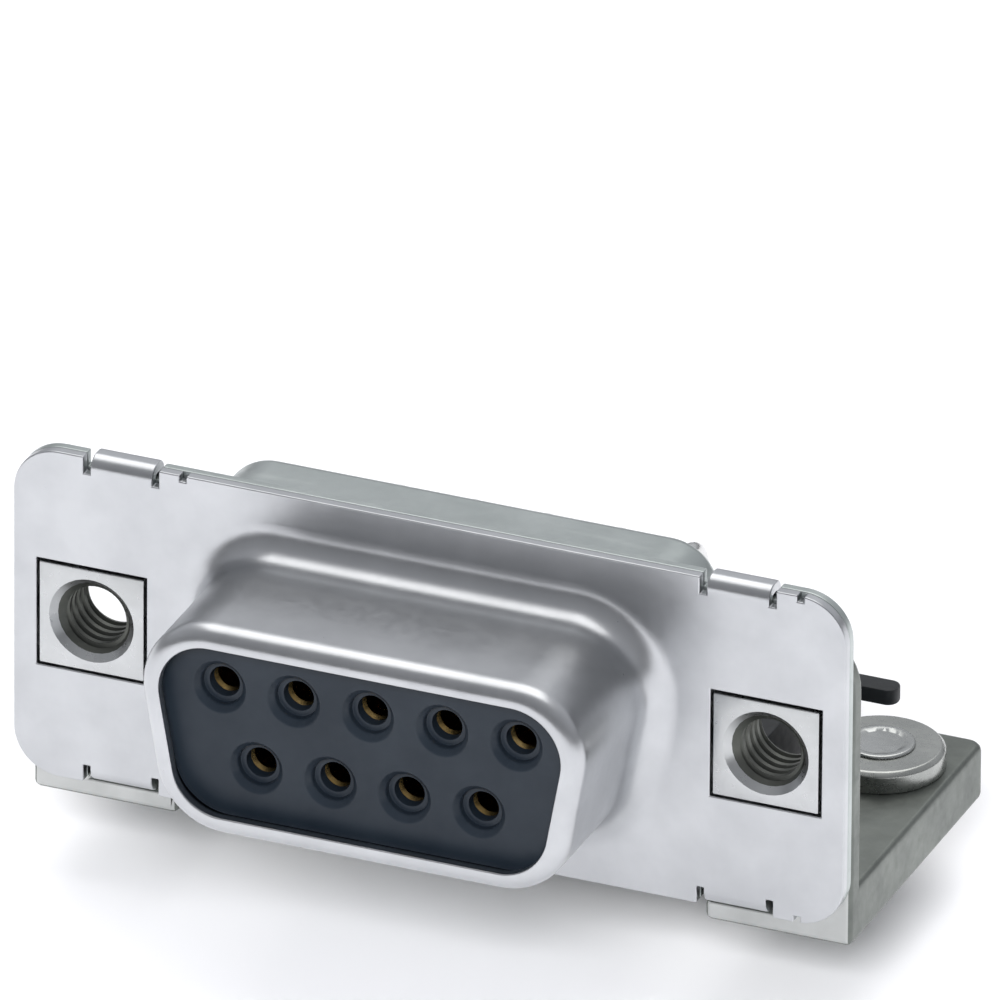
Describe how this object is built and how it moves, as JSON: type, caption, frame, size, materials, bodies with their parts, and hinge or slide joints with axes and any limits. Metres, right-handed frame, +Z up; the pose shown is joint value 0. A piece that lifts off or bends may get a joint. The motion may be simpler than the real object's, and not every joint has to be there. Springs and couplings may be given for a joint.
{
  "type": "d-sub connector",
  "caption": "Right-angle shielded D-sub socket connector for a circuit board, with two rows of contacts, angle brackets, threaded inserts and press-fit board locks.",
  "frame": {"origin": "midway between the two threaded holes, on the front face of the flange", "axes": "+X to the viewer's right along the flange, +Y back from the mating face to the board, +Z up away from the board"},
  "size_m": [0.0308, 0.0202, 0.0166],
  "materials": {
    "shell_steel": "bright tin-plated drawn steel sheet, satin on the flat and glossy on the bends",
    "rear_steel": "tin-plated drawn steel sheet, greyer than the front",
    "black_plastic": "glass-filled moulded thermoplastic, blue-black, satin",
    "contact_gold": "gold-flashed copper alloy, the tails tinned",
    "bracket_zinc": "satin grey-green plated zinc die casting",
    "insert_steel": "plated turned steel, light grey",
    "lock_steel": "plated turned steel, grey-olive",
    "eyelet_steel": "plated steel rivet, bright rolled rim"
  },
  "bodies": {
    "root": {"front_shell": "shell_steel", "rear_shell": "rear_steel", "front_insulator": "black_plastic", "rear_insulator": "black_plastic", "tail_spacer": "black_plastic", "contact_1": "contact_gold", "contact_2": "contact_gold", "contact_3": "contact_gold", "contact_4": "contact_gold", "contact_5": "contact_gold", "contact_6": "contact_gold", "contact_7": "contact_gold", "contact_8": "contact_gold", "contact_9": "contact_gold", "bracket_left": "bracket_zinc", "bracket_right": "bracket_zinc", "threaded_insert_left": "insert_steel", "threaded_insert_right": "insert_steel", "board_lock_left": "lock_steel", "board_lock_right": "lock_steel", "lock_eyelet_left": "eyelet_steel", "lock_eyelet_right": "eyelet_steel"}
  },
  "joints": []
}
